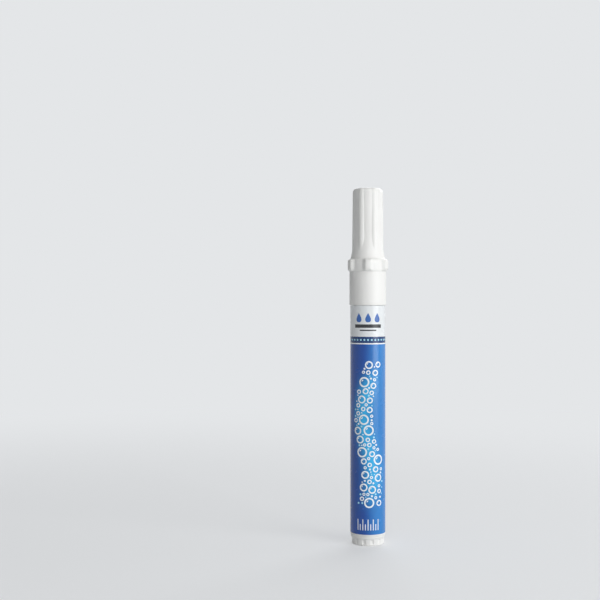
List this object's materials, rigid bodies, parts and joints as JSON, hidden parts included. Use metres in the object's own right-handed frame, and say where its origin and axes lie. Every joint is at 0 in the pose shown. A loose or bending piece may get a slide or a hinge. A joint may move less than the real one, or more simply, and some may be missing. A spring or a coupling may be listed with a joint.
{
  "type": "cleaning pen",
  "caption": "Slim fluid-filled cleaning pen with a sprung felt nib, a printed sleeve, a grooved end plug and a ribbed pull-off cap with an anti-roll ring.",
  "frame": {"origin": "middle of the end plug's flat end, which the pen stands on", "axes": "+Z along the pen from the end plug to the top of the cap; -Y is the front, the side where a lug of the cap's ring is centred"},
  "size_m": [0.0152, 0.0166, 0.135],
  "materials": {
    "white_plastic": "satin moulded polypropylene",
    "printed_film": "glossy printed shrink film",
    "clear_plastic": "natural milky polyethylene",
    "seal_rubber": "matt",
    "spring_steel": "drawn stainless wire",
    "nib_felt": "bonded felt"
  },
  "bodies": {
    "pen_body": {"barrel": "white_plastic", "label_sleeve": "printed_film", "end_plug": "white_plastic", "nose": "white_plastic", "valve_seat": "clear_plastic", "valve_cage": "clear_plastic", "valve_spring": "spring_steel"},
    "nib_unit": {"nib": "nib_felt", "valve_stem": "clear_plastic", "valve_seal": "seal_rubber"},
    "cap_unit": {"cap": "white_plastic", "cap_liner": "clear_plastic"}
  },
  "joints": [
    {"name": "cap_pull", "type": "slide", "parent": "pen_body", "child": "cap_unit", "axis": [0, 0, 1], "range_m": [0, 0.045]},
    {"name": "nib_press", "type": "slide", "parent": "pen_body", "child": "nib_unit", "axis": [0, 0, -1], "range_m": [0, 0.002], "stiffness_N_per_m": 600, "deforming": ["valve_spring"]}
  ]
}
